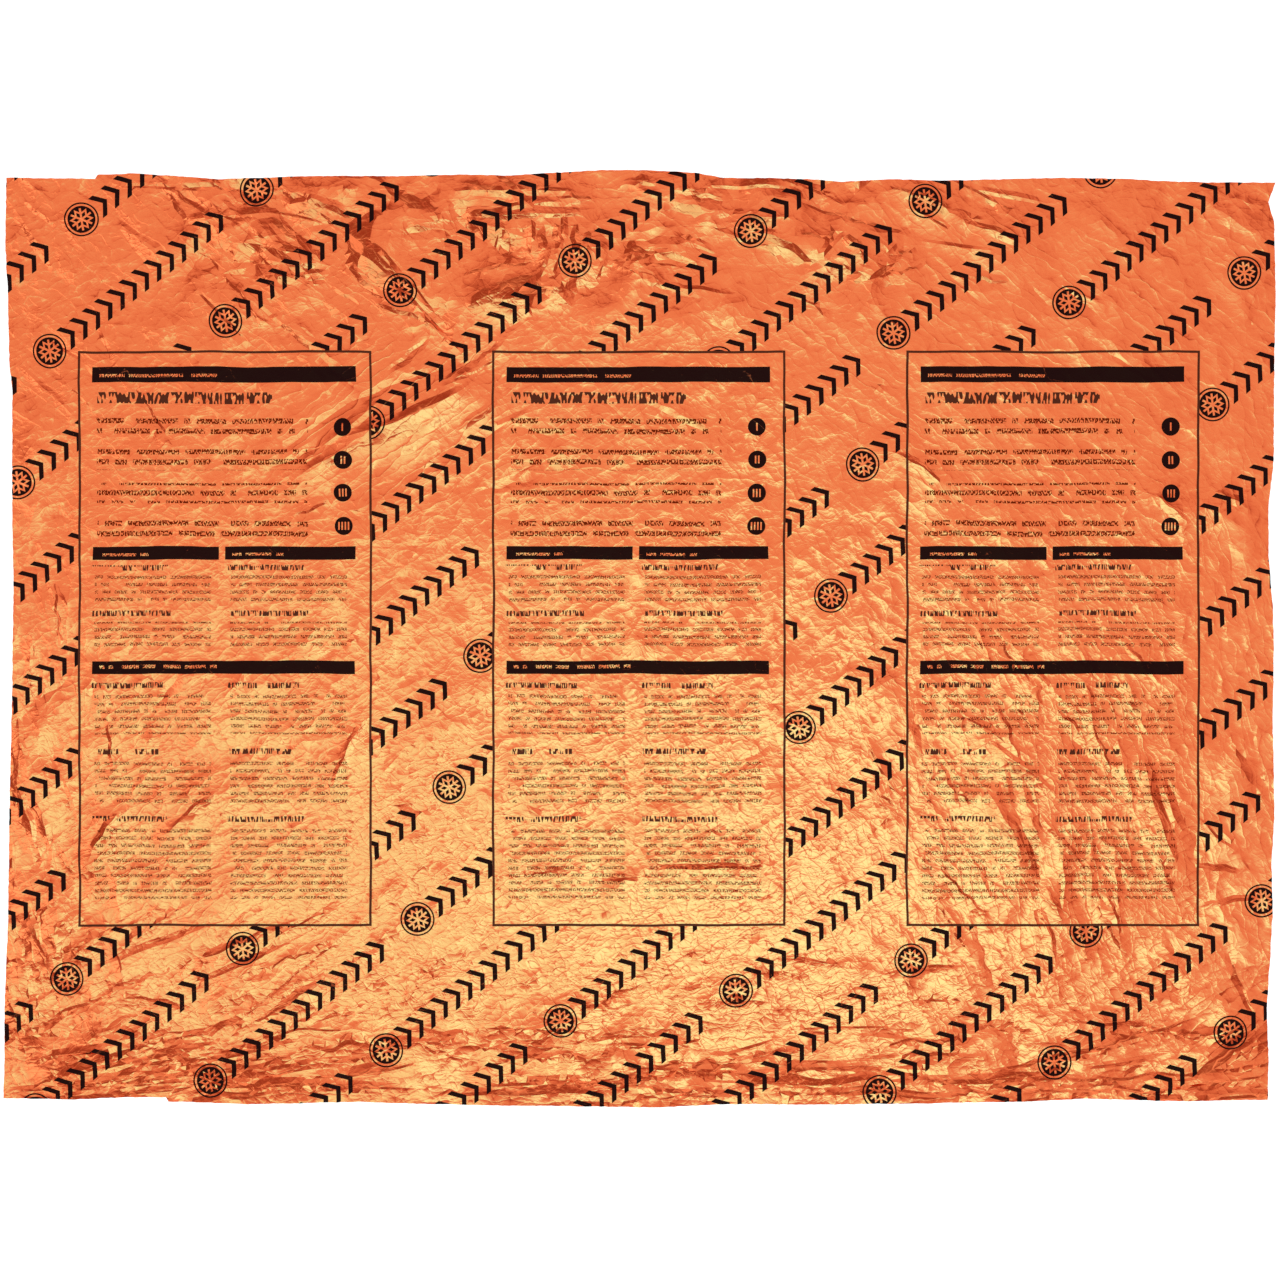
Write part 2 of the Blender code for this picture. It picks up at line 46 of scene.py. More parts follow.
# The film is one cut rectangle, laid on the folds of its CAD solid. All sizes are in millimetres from the
# middle of the sheet, angles in degrees from +X towards +Y.
film = {
    "name": "foil_film",
    "filmThickness": 0.3,  # a real one is thinner still
    "aboveSurface": 0.4,  # lowest place of the film's face
    "flatCut": (1560, 2130),
    "upperSide": 0.2,  # how far up a face of the CAD solid has to look to be of its upper side
    "edgeStep": 7,  # between the points of the cut edge
    "edgeRagged": 0.6,  # how uneven the cut is
    "crestStep": 7.5,  # between the points along a crease
    "footStep": 11,  # between the points along its feet, where it is higher than footFrom
    "footFrom": 1.2,
    "leastGap": 3.5,
    "tries": 260000,  # for the points between the creases
    "sharpFrom": 7,  # degrees between two facets, from which their edge is a crease
    "facets": ((105, 2.0), (40, 0.75)),  # gap between the corners of the broad facets, rise of a corner
    "facetTries": 30,  # for each corner of a broad facet
    "facetBorder": 120,  # how far the broad facets go on past the cut edge
    "foldFoot": 1.4,  # height from which the folds are measured
    "seed": 5,
    # x, y, half length, half width, gap between the points, rise of a point, share of the broad facets' rise,
    # share of the solid's folds: less where the film has been pulled flat between its creases
    "crumple": (
        (0, 0, 1400, 1100, 7.6, 0.10, 0.6, 0.7),
        (30, -330, 620, 330, 6.6, 0.16, 0.5, 0.4),
        (-650, -330, 400, 420, 7.0, 0.14, 0.6, 0.5),
        (-980, -330, 110, 420, 7.0, 0.22, 1.0, 0.9),
        (690, -300, 330, 340, 7.0, 0.14, 0.8, 0.45),
        (-180, 660, 640, 200, 7.0, 0.05, 1.2, 1.0),
        (-400, 655, 230, 110, 7.0, 0.05, 2.1, 1.0),
        (0, -560, 1000, 110, 6.6, 0.14, 0.4, 0.35),
        (0, -715, 1200, 90, 6.2, 0.05, 0.7, 0.6),
        (650, 350, 420, 300, 9.5, 0.06, 0.6, 0.6),
    ),
    "crumpleFade": (1.25, 0.5),  # where a row ends, in half lengths and widths, and how wide its border is
    # the creases that show most, each given one by one: x and y of both ends, height, half width, bow
    "mainCreases": (
        (-516, 691, -388, 591, 3.6, 14, 8), (-560, 735, -470, 700, 2.5, 10, 3),
        (-620, 700, -540, 640, 2.5, 11, -4), (-450, 560, -330, 520, 2.0, 10, 4),
        (-650, 640, -590, 560, 2.2, 10, 0), (-480, 620, -420, 560, 2.0, 9, 0),
        (-320, 742, -106, 742, 2.6, 10, 3), (-320, 709, -86, 709, 2.9, 11, -5),
        (-164, 688, -160, 636, 3.0, 8, 0), (-139, 690, -130, 640, 3.0, 8, 2),
        (-108, 686, -104, 636, 3.2, 8, 0), (-84, 684, -88, 640, 2.4, 7, 0),
        (-287, 551, -116, 581, 4.2, 16, 16), (-300, 600, -180, 620, 2.4, 10, 4),
        (-22, 616, 61, 644, 2.7, 11, 6), (56, 669, 119, 654, 2.2, 9, 0), (187, 674, 294, 616, 3.0, 12, 16),
        (89, 751, 285, 751, 2.2, 9, 2), (303, 634, 328, 684, 3.0, 8, 0), (330, 669, 373, 629, 3.0, 11, 8),
        (340, 620, 392, 600, 2.4, 9, 0), (412, 747, 515, 717, 2.4, 9, 4), (520, 693, 636, 654, 2.6, 10, 6),
        (348, 591, 446, 634, 2.4, 13, 0), (-515, 330, -265, 433, 3.4, 22, -14),
        (-571, 267, -425, 340, 2.4, 15, 6), (-500, 385, -360, 440, -1.6, 13, 0),
        (412, 313, 505, 254, 2.2, 11, 6), (851, 245, 915, 190, 2.0, 10, 0),
        (954, 245, 1017, 210, 2.4, 10, 4), (-1037, -239, -1004, -357, 2.6, 10, 4),
        (-1019, -445, -995, -513, 2.6, 9, 0), (-1050, -639, -972, -694, 2.8, 11, 0),
        (-982, -736, -791, -668, 4.4, 12, 8), (-982, -746, -817, -727, 3.0, 9, 0),
        (-781, -691, -708, -754, -3.4, 10, 0), (-914, -357, -864, -285, 2.4, 10, 0),
        (-789, -330, -699, -252, 1.5, 9, 4), (-511, -252, -453, -129, 1.5, 9, 6),
        (-204, -387, -106, -387, -1.5, 5.5, 0), (-67, -402, 6, -402, -1.7, 5.5, 4),
        (6, -382, 235, -382, -1.5, 5, 4), (558, -160, 701, -269, 2.0, 13, 6),
        (573, -249, 641, -375, 2.4, 15, 6), (613, -264, 671, -415, -1.8, 14, 6),
        (671, -405, 704, -473, 1.6, 10, 0), (837, -190, 896, -380, 2.2, 14, -8),
        (699, -319, 704, -463, 1.5, 10, 4), (749, -319, 752, -463, 1.5, 10, 0),
        (791, -330, 800, -463, 1.4, 10, -4), (920, -726, 1032, -649, 4.0, 14, 8),
        (940, -690, 1020, -640, -2.4, 10, 4), (-870, 752, -608, 744, -2.2, 6, 2),
        (-950, -724, -664, -669, 3.0, 8, 6), (-772, -718, -610, -741, 3.2, 9, -4),
        (-821, -741, -363, -748, 3.0, 8, 6), (-565, -728, -367, -703, 3.2, 9, -5),
        (-312, -757, -11, -751, 3.0, 8, 5), (-215, -656, -89, -633, 2.6, 8, 6),
        (-49, -671, 109, -664, 2.6, 8, -4), (-26, -711, 433, -703, 3.2, 9, -8),
        (400, -561, 551, -546, 1.8, 7, 4), (649, -698, 922, -629, 3.0, 9, -6),
        (400, -739, 777, -732, 3.2, 9, 6), (824, -757, 1040, -727, 3.0, 9, 4),
        (468, -77, 664, -207, 1.3, 6, 0), (922, -377, 1005, -388, 1.8, 6, 3),
        (922, -448, 1035, -428, 1.6, 6, 3),
    ),
    "endWidth": 0.5,  # how wide a crease is at its ends, as a share of its width in the middle
    "mainCreaseForm": {"wave": 2, "waves": 2.3, "lean": 0.4},  # how they waver, and how lopsided they are
    # x, y, half length, half width, angle, its spread, how many, shortest, longest, height, half width, wave
    "creaseFamilies": (
        (0, 0, 1050, 770, 0, 90, 260, 40, 110, 0.8, 6, 2),
        (0, -748, 1040, 22, 1, 4, 26, 160, 460, 2.8, 6.5, 8),
        (0, -700, 1040, 50, 2, 10, 64, 90, 300, 1.9, 4.6, 7),
        (0, -610, 1040, 80, 4, 26, 90, 50, 170, 1.3, 4.2, 6),
        (-840, -710, 200, 36, 13, 7, 22, 150, 320, 3.6, 9, 6),
        (-800, -580, 260, 110, 28, 12, 34, 80, 240, 1.7, 6, 5),
        (-180, 690, 640, 90, -8, 22, 36, 60, 200, 2.6, 12, 5),
        (-480, 640, 280, 120, -40, 12, 24, 80, 220, 2.8, 14, 5),
        (-150, 640, 90, 40, 78, 14, 14, 25, 60, 2.4, 9, 1),
        (300, 650, 360, 100, -28, 26, 36, 50, 160, 2.1, 10, 4),
        (-400, 350, 200, 130, 25, 16, 26, 60, 200, 1.9, 11, 4),
        (-960, -350, 90, 400, -78, 18, 42, 50, 150, 1.9, 10, 4),
        (-700, -300, 330, 330, 48, 26, 80, 40, 130, 1.2, 4.8, 4),
        (0, -330, 560, 260, 4, 50, 110, 35, 110, 1.2, 4.4, 4),
        (700, -300, 330, 300, -62, 20, 80, 50, 160, 1.9, 10, 5),
        (960, -200, 90, 500, 75, 26, 44, 40, 150, 1.0, 8, 4),
        (900, 500, 160, 260, -35, 22, 34, 60, 180, 1.1, 9, 4),
        (450, 480, 500, 120, -30, 22, 50, 60, 180, 1.2, 9, 4),
        (-780, 560, 280, 200, -48, 20, 50, 60, 200, 1.7, 13, 4),
        (0, 150, 1000, 250, 10, 60, 150, 50, 140, 0.9, 8, 3),
    ),
    # how uneven the creases of a family are: shares of height and width, waves along a crease, lopsidedness
    "familyForm": {"height": (0.35, 1.0), "width": (0.6, 1.4), "waves": (1.5, 4), "lean": 0.6},
    "grainNames": ("levelGrain", "fallingGrain", "uprightGrain", "risingGrain", "crumpledGrain"),
    # how strong the fine creases of each grain are: x, y, half length, half width, then the grains in the
    # order of their names. A later row covers an earlier one.
    "grain": (
        (0, 0, 1400, 1100, 0.38, 0.52, 0.28, 0.34, 0.48),
        (-430, 640, 420, 160, 0.34, 0.80, 0.14, 0.14, 0.56),
        (-120, 690, 350, 100, 0.68, 0.34, 0.34, 0.14, 0.46),
        (200, 680, 250, 110, 0.46, 0.58, 0.12, 0.12, 0.38),
        (650, 480, 420, 260, 0.26, 0.64, 0.14, 0.14, 0.34),
        (-420, 360, 220, 130, 0.10, 0.20, 0.10, 0.90, 0.35),
        (-980, -250, 90, 450, 0.20, 0.20, 0.90, 0.20, 0.55),
        (-730, -300, 280, 330, 0.30, 0.15, 0.15, 0.60, 0.60),
        (30, -330, 560, 280, 0.36, 0.28, 0.14, 0.32, 0.72),
        (700, -280, 330, 320, 0.15, 0.45, 0.60, 0.10, 0.60),
        (1000, -100, 70, 600, 0.10, 0.25, 0.50, 0.15, 0.35),
        (0, -610, 1100, 80, 0.58, 0.28, 0.10, 0.38, 0.82),
        (0, -715, 1200, 80, 0.62, 0.16, 0.06, 0.28, 0.60),
        (980, -650, 100, 90, 0.30, 0.00, 0.00, 1.00, 0.45),
    ),
    "grainFade": (1.35, 0.7),  # as crumpleFade
}
sameSpot = 0.0000001  # points closer than this are one point


def pickOnly(piece):
    bpy.ops.object.select_all(action="DESELECT")
    bpy.context.view_layer.objects.active = piece
    piece.select_set(True)


def duplicateOfNode(node, name):
    pickOnly(node)
    bpy.ops.object.duplicate()
    copy = bpy.context.active_object
    copy.name = name
    copy.parent = None
    return copy


def keepUpperSide(piece):
    bpy.ops.object.mode_set(mode="EDIT")
    bpy.ops.mesh.select_all(action="SELECT")
    bpy.ops.mesh.remove_doubles(threshold=0.01 * mm)
    bpy.ops.mesh.select_all(action="DESELECT")
    mesh = bmesh.from_edit_mesh(piece.data)
    for face in mesh.faces:
        face.select_set(face.normal.z < film["upperSide"])
    bmesh.update_edit_mesh(piece.data)
    bpy.ops.mesh.delete(type="FACE")
    bpy.ops.object.mode_set(mode="OBJECT")


def borderLoop(piece):  # the corners of its outline, one after another
    mesh = bmesh.new()
    mesh.from_mesh(piece.data)
    border = [edge for edge in mesh.edges if edge.is_boundary]
    vert = border[0].verts[0]
    loop, used = [vert.co.xy.copy()], set()
    while True:
        onward = [edge for edge in vert.link_edges if edge.is_boundary and edge not in used]
        if not onward:
            break
        used.add(onward[0])
        vert = onward[0].other_vert(vert)
        loop.append(vert.co.xy.copy())
    mesh.free()
    return loop


def cutEdge(piece, chance):  # the outline in even small steps, cut a little unevenly
    loop = borderLoop(piece)
    points = []
    for first, second in zip(loop, loop[1:]):
        run = second - first
        parts = max(1, round(run.length / (film["edgeStep"] * mm)))
        across = Vector((-run.y, run.x)).normalized()
        for part in range(parts):
            stray = chance.uniform(-1, 1) * film["edgeRagged"] * mm if part else 0
            points.append(first + run * part / parts + across * stray)
    return points


def mainCreases(chance):
    form = film["mainCreaseForm"]
    return [{
        "x": (x1 + x2) / 2 * mm, "y": (y1 + y2) / 2 * mm,
        "turn": math.atan2(y2 - y1, x2 - x1),
        "half": math.hypot(x2 - x1, y2 - y1) / 2 * mm,
        "height": height * mm, "width": width * mm, "bow": bow * mm,
        "wave": form["wave"] * mm, "waves": form["waves"],
        "lean": chance.uniform(-form["lean"], form["lean"]),
    } for x1, y1, x2, y2, height, width, bow in film["mainCreases"]]


def familyCreases(chance):  # two ridges for each trough
    form = film["familyForm"]
    creases = []
    for row in film["creaseFamilies"]:
        x, y, halfLength, halfWidth, angle, spread, count, shortest, longest, height, width, wave = row
        for _ in range(count):
            creases.append({
                "x": (x + chance.uniform(-1, 1) * halfLength) * mm,
                "y": (y + chance.uniform(-1, 1) * halfWidth) * mm,
                "turn": math.radians(angle + chance.uniform(-1, 1) * spread),
                "half": chance.uniform(shortest, longest) * mm / 2,
                "height": height * chance.uniform(*form["height"]) * mm * chance.choice((1, 1, -1)),
                "width": width * chance.uniform(*form["width"]) * mm,
                "bow": chance.uniform(-1, 1) * wave * mm,
                "wave": chance.uniform(-1, 1) * wave * mm,
                "waves": chance.uniform(*form["waves"]),
                "lean": chance.uniform(-form["lean"], form["lean"]),
            })
    return creases


def creaseOffset(crease, share):  # how far the crest lies beside its chord
    waving = crease["wave"] * np.sin(share * crease["waves"] * math.pi)
    return crease["bow"] * (1 - share**2) + waving * (1 - np.abs(share))


def halfWidthAt(crease, share, side):  # narrower to its ends, and wider on the side that it leans from
    narrower = 1 - (1 - film["endWidth"]) * share**2
    return crease["width"] * narrower * (1 + crease["lean"] * side)


def linePoints(crease, side):  # points along the crest, or along the foot on one side
    step = film["footStep"] if side else film["crestStep"]
    parts = max(2, round(2 * crease["half"] / (step * mm)))
    along = np.linspace(-1, 1, parts + 1)[1:-1]
    aside = creaseOffset(crease, along) + side * halfWidthAt(crease, along, side)
    c, s = math.cos(crease["turn"]), math.sin(crease["turn"])
    x = crease["x"] + along * crease["half"] * c - aside * s
    y = crease["y"] + along * crease["half"] * s + aside * c
    return np.stack([x, y], 1)


def creaseHeights(points, creases):  # the highest ridge and the deepest trough at each point
    order = np.argsort(points[:, 0])
    sortedX = points[order, 0]
    up, deep = np.zeros(len(points)), np.zeros(len(points))
    for crease in creases:
        c, s = math.cos(crease["turn"]), math.sin(crease["turn"])
        reach = crease["half"] + 2 * crease["width"]
        first, last = np.searchsorted(sortedX, (crease["x"] - reach, crease["x"] + reach))
        near = order[first:last]
        near = near[np.abs(points[near, 1] - crease["y"]) < reach]
        dx, dy = points[near, 0] - crease["x"], points[near, 1] - crease["y"]
        share = (dx * c + dy * s) / crease["half"]
        inside = np.abs(share) < 1
        near, share, dx, dy = near[inside], share[inside], dx[inside], dy[inside]
        aside = dy * c - dx * s - creaseOffset(crease, share)
        width = halfWidthAt(crease, share, np.sign(aside))
        rise = abs(crease["height"]) * (1 - share**2) * np.clip(1 - np.abs(aside) / width, 0, 1)
        side = up if crease["height"] > 0 else deep
        side[near] = np.maximum(side[near], rise)
    return up - deep


def blendRows(points, rows, fade):  # what a table says at each point; each row fades into the ones before it
    ends, soft = fade
    said = np.tile(np.array(rows[0][4:], float), (len(points), 1))
    for x, y, halfLength, halfWidth, *values in rows[1:]:
        far = np.hypot((points[:, 0] / mm - x) / halfLength, (points[:, 1] / mm - y) / halfWidth)
        said += (np.array(values) - said) * np.clip((ends - far) / soft, 0, 1)[:, None]
    return said


def facetHeights(points, chance):  # broad flat facets, whose corners stand a little high or low
    halfX, halfY = np.abs(points).max(0) + film["facetBorder"] * mm
    heights = np.zeros(len(points))
    for gap, rise in film["facets"]:
        corners = []
        for _ in range(round(film["facetTries"] * halfX * halfY / (gap * mm) ** 2)):
            corner = Vector((chance.uniform(-halfX, halfX), chance.uniform(-halfY, halfY)))
            if all((corner - other).length > gap * mm for other in corners):
                corners.append(corner)
        flat, _, faces, *_ = delaunay_2d_cdt(corners, [], [], 0, sameSpot)
        raised = [(*corner, chance.uniform(-1, 1) * rise * mm) for corner in flat]
        facets = BVHTree.FromPolygons(raised, faces)
        for number, (x, y) in enumerate(points):
            hit = facets.ray_cast(Vector((x, y, 1)), down)[0]
            heights[number] += hit.z if hit else 0
    return heights


def spreadPoints(outline, creases, chance):  # along the creases first, from the highest on, then between them
    cell = 5 * mm  # of the grid in which near points are looked up
    taken, kept, lines = {}, [], []

    def fits(x, y, gap):
        column, row = int(x // cell), int(y // cell)
        reach = int(gap // cell) + 1
        for i in range(column - reach, column + reach + 1):
            for j in range(row - reach, row + reach + 1):
                for otherX, otherY in taken.get((i, j), ()):
                    if (otherX - x) ** 2 + (otherY - y) ** 2 < gap * gap:
                        return False
        return True

    def keep(x, y):
        taken.setdefault((int(x // cell), int(y // cell)), []).append((x, y))
        kept.append((x, y))

    for point in outline:
        keep(point.x, point.y)
    halfX, halfY = max(point.x for point in outline), max(point.y for point in outline)
    for crease in sorted(creases, key=lambda crease: -abs(crease["height"])):
        for side in (0, -1, 1) if abs(crease["height"]) > film["footFrom"] * mm else (0,):
            joined = False
            for x, y in linePoints(crease, side):
                free = abs(x) < halfX and abs(y) < halfY and fits(x, y, film["leastGap"] * mm)
                if free:
                    keep(x, y)
                if free and joined:
                    lines.append((len(kept) - 2, len(kept) - 1))
                joined = free
    print("creases set out:", len(creases), "with", len(kept) - len(outline), "points")
    tries = [(chance.uniform(-halfX, halfX), chance.uniform(-halfY, halfY)) for _ in range(film["tries"])]
    gaps = blendRows(np.array(tries), film["crumple"], film["crumpleFade"])[:, 0]
    for (x, y), gap in zip(tries, gaps * mm):
        if fits(x, y, gap):
            keep(x, y)
    return kept, lines


def filmHeights(places, creases, folds, chance):  # the creases on the CAD solid's folds
    where = np.array(places)
    _, rise, broad, folded = blendRows(where, film["crumple"], film["crumpleFade"]).T
    stray = np.array([chance.uniform(-1, 1) for _ in places])
    creased = creaseHeights(where, creases) + rise * mm * stray + broad * facetHeights(where, chance)
    foot = film["foldFoot"] * mm
    heights = []
    for place, share, height in zip(places, folded, creased):
        hit = folds.ray_cast(Vector((place.x, place.y, 1)), down)[0]
        if hit is None:
            hit = folds.find_nearest(Vector((place.x, place.y, 0)))[0]
        heights.append(max(foot + (hit.z - foot) * share + height, film["aboveSurface"] * mm))
    return heights


def meshFilm(piece, places, heights, faces):  # with a map of the sheet in metres, which its materials read
    mesh = bmesh.new()
    made = [mesh.verts.new((place.x, place.y, height)) for place, height in zip(places, heights)]
    for face in faces:
        mesh.faces.new([made[corner] for corner in face])
    mesh.normal_update()
    if sum(face.normal.z for face in mesh.faces) < 0:
        bmesh.ops.reverse_faces(mesh, faces=mesh.faces)
    flat = mesh.loops.layers.uv.new("flat")
    for face in mesh.faces:
        for loop in face.loops:
            loop[flat].uv = loop.vert.co.xy
    mesh.to_mesh(piece.data)
    mesh.free()
    where = np.array([vert.co.xy for vert in piece.data.vertices])
    strengths = blendRows(where, film["grain"], film["grainFade"]).T
    for grain, strength in zip(film["grainNames"], strengths):
        attribute = piece.data.attributes.new(grain, "FLOAT", "POINT")
        attribute.data.foreach_set("value", strength.astype(np.float32))


def layFilm():
    chance = random.Random(film["seed"])
    piece = duplicateOfNode(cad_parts["foil_sheet"], film["name"])
    keepUpperSide(piece)
    outline = cutEdge(piece, chance)
    folds = BVHTree.FromObject(piece, bpy.context.evaluated_depsgraph_get())
    creases = mainCreases(chance) + familyCreases(chance)
    points, lines = spreadPoints(outline, creases, chance)
    rim = [list(range(len(outline)))]  # what lies outside it is left out by the 1 below
    places, _, faces, *_ = delaunay_2d_cdt([Vector(point) for point in points], lines, rim, 1, sameSpot)
    meshFilm(piece, places, filmHeights(places, creases, folds, chance), faces)
    print("film laid:", len(piece.data.polygons), "faces")
    return piece


foilFilm = layFilm()


def fromHex(code):
    channels = [int(code[i:i + 2], 16) / 255 for i in (1, 3, 5)]
    return [c / 12.92 if c <= 0.04045 else ((c + 0.055) / 1.055) ** 2.4 for c in channels] + [1]


def setInputs(tree, node, inputs):  # a socket is linked, and any other value is set
    for key, value in inputs.items():
        if isinstance(value, bpy.types.NodeSocket):
            tree.links.new(value, node.inputs[key])
        else:
            node.inputs[key].default_value = value


def addNode(tree, kind, settings=None, inputs=None):  # its settings, or just the name of its operation
    node = tree.nodes.new("ShaderNode" + kind)
    if isinstance(settings, str):
        settings = {"operation": settings}
    for key, value in (settings or {}).items():
        setattr(node, key, value)
    setInputs(tree, node, inputs or {})
    return node


def newMaterial(name):
    material = bpy.data.materials.new(name)
    material.use_nodes = True
    return material, material.node_tree, material.node_tree.nodes["Principled BSDF"]


# The print is a maker's plain instruction sheet: ruled panels with bars, discs and lines too fine to read,
# and diagonal runs of arrows between them. All sizes are in millimetres.
printing = {
    "ink": "#1B0D0F",
    "thinInk": "#6A1C04",  # strokes so thin that the film shines between them
    "fineCover": 0.88,  # of the ink in the fine lines
    "boldCover": 0.9,  # in the headings and the frame
    # distance of its rows, height of a row, width of a stroke, least word, share left bare
    "smallPrint": (12.4, 5.6, 1.7, 7, 0.485),
    "widePrint": (17.0, 8.6, 2.3, 10, 0.46),
    "boldPrint": (30.0, 30.0, 2.9, 17, 0.49),
    "titlePrint": (30.0, 30.0, 5.2, 36, 0.47),
    "stagger": 0.37,  # of the words from row to row, in least words
    "wordGaps": 0.18,  # share of the words that is left out
    "wobble": 2.4,  # the creases take up a little film, so straight lines waver
    "wobbleSize": 110,
    "panelPitch": 688,
    "panelShift": -1,
    "panelHalf": (244, 478.5),
    "frameLine": 4.0,
    # middle x, middle y, width, height from the panel's middle
    "bars": ((-1, 439, 438, 26), (-115, 142, 210, 22), (108, 142, 216, 22), (-2, -48, 436, 22)),
    "barText": {"margin": 24, "height": 9},  # bare marks in a bar's left half
    "title": (-67, 400, 290, 19),
    "columnPitch": 226,  # two columns of short lines under headings, from a column's middle
    "columnShift": -7,
    "headings": (
        (-38, 118, 126, 9), (-34, 42, 134, 9), (-42, -78, 118, 9), (-46, -188, 110, 9), (-38, -300, 126, 9),
    ),
    "fineLines": (
        (0, 84, 194, 44), (0, 6, 194, 44), (0, -124, 194, 70), (0, -239, 194, 72), (0, -373, 194, 120),
    ),
    # rows of wide lines, each with a disc on which as many tally bars stand as its number
    "rows": {"x": -38, "width": 350, "height": 34, "top": 352, "pitch": 55, "count": 4,
             "disc": 196, "radius": 15},
    "tally": {"pitch": 5.2, "halfHeight": 6.5, "halfShare": 0.24},  # halfShare: half a bar's width in pitches
    "runs": {"angle": 38, "along": 436, "across": 140, "shift": 260},
    "heads": {"from": 78, "count": 13, "pitch": 26, "stroke": 9.5, "halfHeight": 20, "slant": 0.75},
    "ring": {"at": 34, "radius": 27, "halfLine": 1.3, "disc": 22.5},
    "crystal": {"arm": 18.5, "halfStroke": 1.7, "branchAt": 9.5, "halfBranch": 1.6, "branchSlant": 0.6},
}


def printPlace(tree):  # the point of the print in millimetres, wavering a little
    uv = addNode(tree, "UVMap", {"uv_map": "flat"}).outputs[0]
    wave = addNode(tree, "TexNoise", {"noise_dimensions": "2D"},
                   {"Vector": uv, "Scale": 1000 / printing["wobbleSize"], "Detail": 2.0}).outputs["Color"]
    wave = addNode(tree, "VectorMath", "SUBTRACT", {0: wave, 1: (0.5, 0.5, 0.5)}).outputs[0]
    shift = 2 * printing["wobble"]
    wave = addNode(tree, "VectorMath", "MULTIPLY", {0: wave, 1: (shift, shift, 0)}).outputs[0]
    return addNode(tree, "VectorMath", "MULTIPLY_ADD", {0: uv, 1: (1000, 1000, 0), 2: wave}).outputs[0]


def inkOver(tree, *prints):  # one print over another
    whole = prints[0]
    for each in prints[1:]:
        whole = addNode(tree, "Math", "MAXIMUM", {0: whole, 1: each}).outputs[0]
    return whole


def inkThrough(tree, *stencils):  # only where every stencil lets it through
    whole = stencils[0]
    for each in stencils[1:]:
        whole = addNode(tree, "Math", "MULTIPLY", {0: whole, 1: each}).outputs[0]
    return whole


def inkAround(tree, ink, bare):  # an ink area with a bare place in it
    return addNode(tree, "Math", {"operation": "SUBTRACT", "use_clamp": True}, {0: ink, 1: bare}).outputs[0]


def inkBlocks(tree, place, *rows):  # upright rectangles: middle x, middle y, width, height
    blocks = []
    for x, y, width, height in rows:
        away = addNode(tree, "VectorMath", "SUBTRACT", {0: place, 1: (x, y, 0)}).outputs[0]
        away = addNode(tree, "VectorMath", "ABSOLUTE", {0: away}).outputs[0]
        away = addNode(tree, "VectorMath", "SUBTRACT", {0: away, 1: (width / 2, height / 2, 0)}).outputs[0]
        sides = addNode(tree, "SeparateXYZ", None, {0: away}).outputs
        furthest = addNode(tree, "Math", "MAXIMUM", {0: sides[0], 1: sides[1]}).outputs[0]
        blocks.append(addNode(tree, "Math", "LESS_THAN", {0: furthest, 1: 0.0}).outputs[0])
    return inkOver(tree, *blocks)


def unreadableLines(tree, place, style):  # rows of marks with gaps between words, like small print from afar
    pitch, height, stroke, word, bare = style
    x, y, _ = addNode(tree, "SeparateXYZ", None, {0: place}).outputs
    row = addNode(tree, "Math", "DIVIDE", {0: y, 1: pitch}).outputs[0]
    number = addNode(tree, "Math", "FLOOR", {0: row}).outputs[0]
    within = addNode(tree, "Math", "FRACT", {0: row}).outputs[0]
    inRow = addNode(tree, "Math", "LESS_THAN", {0: within, 1: height / pitch}).outputs[0]
    fine = addNode(tree, "VectorMath", "MULTIPLY", {0: place, 1: (1 / stroke, 2 / height, 0)}).outputs[0]
    marks = addNode(tree, "TexNoise", {"noise_dimensions": "2D"},
                    {"Vector": fine, "Scale": 1.0, "Detail": 0.0}).outputs[0]
    marks = addNode(tree, "Math", "GREATER_THAN", {0: marks, 1: bare}).outputs[0]
    cell = addNode(tree, "Math", "MULTIPLY", {0: number, 1: printing["stagger"]}).outputs[0]
    cell = addNode(tree, "Math", "MULTIPLY_ADD", {0: x, 1: 1 / word, 2: cell}).outputs[0]
    cell = addNode(tree, "Math", "FLOOR", {0: cell}).outputs[0]
    spot = addNode(tree, "CombineXYZ", None, {0: cell, 1: number}).outputs[0]
    words = addNode(tree, "TexWhiteNoise", {"noise_dimensions": "2D"}, {"Vector": spot}).outputs["Value"]
    words = addNode(tree, "Math", "GREATER_THAN", {0: words, 1: printing["wordGaps"]}).outputs[0]
    return inkThrough(tree, inRow, marks, words)


def tallyBars(tree, across, upward, number):  # as many bars as the number, about the disc's middle
    tally = printing["tally"]
    half = addNode(tree, "Math", "MULTIPLY", {0: number, 1: tally["pitch"] / 2}).outputs[0]
    aside = addNode(tree, "Math", "ABSOLUTE", {0: across}).outputs[0]
    inReach = addNode(tree, "Math", "LESS_THAN", {0: aside, 1: half}).outputs[0]
    bars = addNode(tree, "Math", "ADD", {0: across, 1: half}).outputs[0]
    bars = addNode(tree, "Math", "DIVIDE", {0: bars, 1: tally["pitch"]}).outputs[0]
    bars = addNode(tree, "Math", "FRACT", {0: bars}).outputs[0]
    bars = addNode(tree, "Math", "COMPARE", {0: bars, 1: 0.5, 2: tally["halfShare"]}).outputs[0]
    upright = addNode(tree, "Math", "COMPARE", {0: upward, 1: 0.0, 2: tally["halfHeight"]}).outputs[0]
    return inkThrough(tree, inReach, bars, upright)


